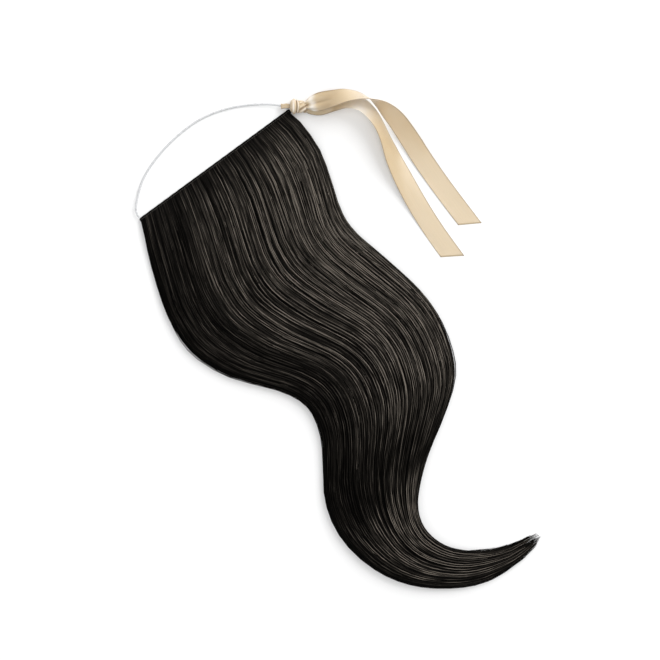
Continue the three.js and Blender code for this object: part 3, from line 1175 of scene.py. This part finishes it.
def tail_mesh(name, rows, gleams, settings):
    """A tail as a thin closed strip, and the length of its middle line."""
    width = settings.width / MM
    thickness = settings.thickness / MM
    stations, below_solid, table_gap = 220, 0.33, 0.04

    # Its middle line, and the way that the strip faces along it.
    t = np.linspace(0, 1, stations)[:, None]
    row = along_rows(rows, t[:, 0])
    middle = row[:, [TAIL_X, TAIL_Y, TAIL_Z]] - (0, 0, below_solid)
    forward = unit(np.gradient(middle, axis=0))
    level = unit(np.cross(forward, (0, 0, 1)))
    bank = np.radians(row[:, BANK])[:, None]
    side = level * np.cos(bank) + np.cross(level, forward) * np.sin(bank)
    face = np.cross(side, forward)

    # Its middle surface: pleated where it is gathered, a little wavy and cut at a slant.
    edge = np.array([0, 0.006, 0.014, 0.026, 0.045])
    share = np.r_[edge, np.linspace(0.07, 0.93, 25), 1 - edge[::-1]][None, :] - 0.5
    spread = np.minimum(row[:, SPREAD], width)[:, None]
    pleat = np.sqrt(np.maximum(width**2 - spread**2, 0)) / 4
    crown = 0.25 * (0.25 - share**2)
    ripple = 0.12 * wave(3.7 * t + 1.3 * share**2)
    lift = crown + ripple - pleat / 2 * np.cos(4 * np.pi * share)
    cut_slope = 0.63
    cut = cut_slope * smooth_step(t, 0.93, 1.0) * np.cos(bank)
    across = side - forward * cut
    sheet = middle[:, None] + across[:, None] * (share * spread)[..., None]
    sheet = sheet + face[:, None] * lift[..., None]

    # Both faces, with a thicker woven edge.
    selvedge = 0.5 + 0.35 * near(np.abs(share), 0.478, 0.016)
    half = face[:, None] * (thickness * selvedge)[..., None]
    rings = there_and_back(sheet + half, sheet - half)
    rings[..., 2] = np.maximum(rings[..., 2], table_gap)
    uv = stacked(there_and_back(share, share) + 0.5, t)

    # Painted shade in the pleats, and the painted gleams, where a gleam below zero is painted shade.
    folded = near(share, 0, 0.05) + near(np.abs(share), 0.5, 0.04)
    gathered = 0.8 * np.clip(pleat / 3, 0, 1) * folded
    gleam = sum(amount * near(t, place, reach) for place, reach, amount in gleams)
    crease = np.clip(-gleam, 0, 1) + there_and_back(gathered, gathered)
    length = float(np.linalg.norm(np.diff(middle, axis=0), axis=1).sum()) * MM
    return satin_mesh(name, rings, uv, crease, gleam), length


class EXTENSION_OT_tails(bpy.types.Operator):
    """Makes the ribbon's two loose tails"""

    bl_idname = "extension.tails"
    bl_label = "Ribbon tails"

    def execute(self, context):
        settings = context.scene.extension_ribbon
        finish = satin_finish(settings)
        for node, rows, gleams in (
            ("ribbon_tail_upper", TAIL_UPPER, UPPER_PAINTED_GLEAMS),
            ("ribbon_tail_lower", TAIL_LOWER, LOWER_PAINTED_GLEAMS),
        ):
            mesh, length = tail_mesh(node, rows, gleams, settings)
            made = piece(node + "_satin", mesh, finish, node)
        return {"FINISHED"}


def knot_mesh():
    """The knot: a round turn, a curved groove, a narrow turn and a creased throat."""
    stations, around = 150, 120
    least_radius, flattened, table_gap = 0.3, 0.85, 0.05
    t = np.linspace(0, 1, stations)[:, None]
    profile = along_rows(KNOT_PROFILE, t[:, 0])
    angle = np.linspace(0, 2 * math.pi, around, endpoint=False)[None, :]
    along = profile[:, :1]
    radius = np.maximum(profile[:, 1:], least_radius)
    body = smooth_step(radius, 2.0, 5.5)
    throat = smooth_step(along, -0.2, 1.4)

    # Creases slant across the throat, from its lower edge, and folds follow the turns.
    lower_edge, throat_start, rise, run = -6.4, 0.4, 0.78, 0.62
    slanting = rise * (radius * np.cos(angle) - lower_edge) - run * (along - throat_start)
    creases = near(slanting, 1.7, 0.8) + near(slanting, -2.2, 0.9)
    creases = (creases + 0.6 * near(slanting, 6.5, 0.6)) * throat
    folds = 0.18 * np.cos(1.9 * along + 2.5 * np.cos(angle)) * (1 - throat)
    radius = radius + (folds - 0.9 * creases) * body
    bowed = 0.9 * np.cos(angle) ** 2 * smooth_step(along, -7.5, -3) * (1 - throat)
    y = radius * np.cos(angle) - 0.7 - 0.08 * along
    z = np.maximum(KNOT_HEIGHT + flattened * radius * np.sin(angle), table_gap)
    rings = stacked(along - bowed, y, z)
    uv = stacked(0.06 + 0.88 * np.abs(angle / math.pi - 1), t * 0.08)

    # Painted shade in the groove, the creases and the throat's end, and painted gleams on the crests
    # of the turns and across the throat.
    groove = near(along, -1.9, 0.5) + 0.45 * near(along, 0.3, 0.35)
    crease = 1.3 * (groove + creases) + near(along, 7.9, 0.8)
    crest = 0.8 * near(along, -5.2, 1.1) + 0.7 * near(along, -0.6, 0.45)
    crest = crest + 0.7 * near(slanting, -0.2, 0.7) * throat
    gleam = crest * smooth_step(np.sin(angle), 0.1, 0.8)
    return satin_mesh("ribbon_knot", rings, uv, crease, gleam)


def fold_mesh():
    """The turn of ribbon round the wire: a doubled strip, pinched where the knot holds it."""
    length, half_width, half_depth, wall = 10.2, 2.4, 2.1, 0.4
    start, base, rise, pinch, stations = -18, 4, 1.2, 0.15, 28
    t = np.linspace(0, 1, stations)[:, None]
    bend = np.linspace(-math.pi / 2, math.pi / 2, 17)
    turn_at = half_width - half_depth
    leg = np.linspace(-half_width, turn_at, 8)[:-1]
    outer_y = np.r_[leg, turn_at + half_depth * np.cos(bend), leg[::-1]]
    outer_z = np.r_[0 * leg - half_depth, half_depth * np.sin(bend), 0 * leg + half_depth]
    outline = stacked(outer_y, outer_z)
    way = unit(np.gradient(outline, axis=0))
    inner = outline + wall * stacked(-way[:, 1], way[:, 0])
    section = there_and_back(outline[None], inner[None])
    y, z = section[..., 0], section[..., 1]
    scale = 1 - pinch * smooth_step(t, 0.5, 1.0)
    ruck = 0.14 * wave(1.7 * t + y / 7)
    rings = stacked(start + t * length, (y + ruck) * scale + 0.3 * t, base + z * scale + rise * t**2)
    across = np.linspace(0, 1, len(outline))[None]
    uv = stacked(there_and_back(across, across), t * 0.05)
    # Painted shade over the whole fold, deepest where the knot holds it and at its start.
    crease = 0.25 + 0.5 * near(t, 1, 0.3) + 0.35 * near(t, 0, 0.15)
    return satin_mesh("ribbon_fold", rings, uv, crease, 0.0)


class EXTENSION_OT_knot(bpy.types.Operator):
    """Makes the ribbon's knot and its fold round the wire"""

    bl_idname = "extension.knot"
    bl_label = "Ribbon knot"

    def execute(self, context):
        finish = satin_finish(context.scene.extension_ribbon)
        piece("ribbon_knot_satin", knot_mesh(), finish, "ribbon_knot")
        piece("ribbon_fold_satin", fold_mesh(), finish, "ribbon_fold")
        return {"FINISHED"}


# Stage


def soft_box(name, target, place, size, power):
    """A round area light that faces its target."""
    light = bpy.data.lights.new(name, "AREA")
    light.shape = "DISK"
    light.size = size
    light.energy = power
    lamp = linked(name, light)
    lamp.location = place
    lamp.rotation_euler = (target - place).to_track_quat("-Z", "Y").to_euler()


class EXTENSION_OT_stage(bpy.types.Operator):
    """Makes the camera, the floor and the light"""

    bl_idname = "extension.stage"
    bl_label = "Stage"

    def execute(self, context):
        settings = context.scene.extension_stage
        scene = context.scene
        middle = Vector((-4.6 * MM, -200 * MM, 0))

        lens = bpy.data.cameras.new("camera")
        lens.lens = lens.sensor_width * settings.camera_height / settings.view_side
        camera = linked("camera", lens)
        camera.location = middle + Vector((0, 0, settings.camera_height))
        camera.rotation_euler = (0, 0, RIBBON_TURN)
        scene.camera = camera

        mesh = bpy.data.meshes.new("floor")
        side = 5.0
        corners = [(-side, -side, 0), (side, -side, 0), (side, side, 0), (-side, side, 0)]
        mesh.from_pydata(corners, [], [(0, 1, 2, 3)])
        mesh.materials.append(floor_finish())
        floor = linked("floor", mesh)

        # Places to the right of, above and over the middle of the picture, and sizes.
        picture = Matrix.Rotation(RIBBON_TURN, 3, "Z")
        for name, place, size, power in (
            ("key", (2.8, 2.8, 3.6), 3.2, settings.key_power),
            ("top", (0, 0, 6.0), 3.6, settings.top_power),
            ("rim", (1.8, 3.4, 1.0), 2.4, settings.rim_power),
            ("fill", (-2.4, -2.4, 2.8), 3.2, settings.fill_power),
        ):
            soft_box(name, middle, middle + picture @ Vector(place), size, power)

        world = bpy.data.worlds.new("studio")
        world.use_nodes = True
        sky = world.node_tree.nodes["Background"]
        sky.inputs["Color"].default_value = (1, 1, 1, 1)
        sky.inputs["Strength"].default_value = settings.sky
        scene.world = world
        scene.view_settings.view_transform = "Standard"
        return {"FINISHED"}


class EXTENSION_PT_panel(bpy.types.Panel):
    """Lists the pieces of the hair extension"""

    bl_idname = "EXTENSION_PT_panel"
    bl_label = "Hair extension"
    bl_space_type = "VIEW_3D"
    bl_region_type = "UI"
    bl_category = "Hair extension"

    def draw(self, context):
        for operator in OPERATORS:
            self.layout.operator(operator.bl_idname)
        for name, settings in SETTINGS.items():
            column = self.layout.column()
            for field in settings.__annotations__:
                column.prop(getattr(context.scene, name), field)


OPERATORS = [
    EXTENSION_OT_stage,
    EXTENSION_OT_wire,
    EXTENSION_OT_band,
    EXTENSION_OT_hair,
    EXTENSION_OT_tails,
    EXTENSION_OT_knot,
]
CLASSES = [*SETTINGS.values(), *OPERATORS, EXTENSION_PT_panel]


def register():
    """Adds the settings, operators and panel."""
    for made in CLASSES:
        bpy.utils.register_class(made)
    for name, settings in SETTINGS.items():
        setattr(bpy.types.Scene, name, PointerProperty(type=settings))


def unregister():
    """Takes them away again."""
    for name in SETTINGS:
        delattr(bpy.types.Scene, name)
    for made in reversed(CLASSES):
        bpy.utils.unregister_class(made)


def main():
    """Makes every piece."""
    register()
    bpy.ops.extension.stage()
    bpy.ops.extension.wire()
    bpy.ops.extension.band()
    bpy.ops.extension.hair()
    bpy.ops.extension.tails()
    bpy.ops.extension.knot()


if __name__ == "__main__":
    main()
